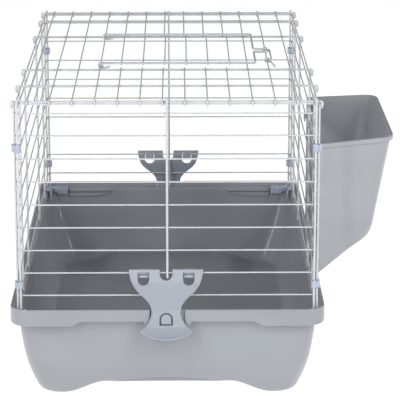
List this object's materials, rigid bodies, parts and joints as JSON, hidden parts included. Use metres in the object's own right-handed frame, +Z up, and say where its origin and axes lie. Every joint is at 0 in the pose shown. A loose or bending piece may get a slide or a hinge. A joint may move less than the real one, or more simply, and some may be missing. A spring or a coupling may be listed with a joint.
{
  "type": "wire rabbit cage",
  "caption": "Indoor rabbit cage: deep moulded tray, clipped welded wire panels, hinged roof door with wire catch, swing latches at both ends and a hopper hay rack on one side.",
  "frame": {"origin": "middle of the assembly's bounding box on the surface it stands on, level with the undersides of the feet", "axes": "+Z up; +Y along the cage from the front latch to the back latch; +X across it, towards the hay rack"},
  "size_m": [0.5946, 0.8156, 0.4814],
  "materials": {
    "tray_plastic": "smooth moulded polypropylene, light cool grey, satin gloss",
    "rack_plastic": "smooth moulded polypropylene, light cool grey, satin",
    "latch_plastic": "satin moulded plastic, blue-grey",
    "clip_plastic": "satin moulded plastic, pale periwinkle blue",
    "wire_coating": "off-white coated steel wire, semi-gloss"
  },
  "bodies": {
    "cage": {"tray": "tray_plastic", "front_panel": "wire_coating", "back_panel": "wire_coating", "left_panel": "wire_coating", "right_panel": "wire_coating", "roof_panel": "wire_coating", "clip_front_left_upper": "clip_plastic", "clip_front_left_lower": "clip_plastic", "clip_front_left_foot": "clip_plastic", "clip_front_right_upper": "clip_plastic", "clip_front_right_lower": "clip_plastic", "clip_front_right_foot": "clip_plastic", "clip_back_left_upper": "clip_plastic", "clip_back_left_lower": "clip_plastic", "clip_back_left_foot": "clip_plastic", "clip_back_right_upper": "clip_plastic", "clip_back_right_lower": "clip_plastic", "clip_back_right_foot": "clip_plastic"},
    "door": {"roof_door": "wire_coating"},
    "catch": {"door_catch": "wire_coating"},
    "front_latch": {"front_latch": "latch_plastic"},
    "back_latch": {"back_latch": "latch_plastic"},
    "hay_rack": {"hay_rack": "rack_plastic"}
  },
  "joints": [
    {"name": "door_hinge", "type": "hinge", "parent": "cage", "child": "door", "pos_m": [-0.1621, 0.0095, 0.4765], "axis": [0, -1, 0], "range_deg": [0, 165]},
    {"name": "catch_hinge", "type": "hinge", "parent": "cage", "child": "catch", "pos_m": [0.1095, 0, 0.4765], "axis": [0, -1, 0], "range_deg": [0, 115]},
    {"name": "front_latch_hinge", "type": "hinge", "parent": "cage", "child": "front_latch", "pos_m": [-0.05375, -0.376, 0.2055], "axis": [-1, 0, 0], "range_deg": [0, 110]},
    {"name": "back_latch_hinge", "type": "hinge", "parent": "cage", "child": "back_latch", "pos_m": [-0.05375, 0.376, 0.2055], "axis": [1, 0, 0], "range_deg": [0, 110]},
    {"name": "rack_lift", "type": "slide", "parent": "cage", "child": "hay_rack", "axis": [0, 0, 1], "range_m": [0, 0.022]}
  ]
}
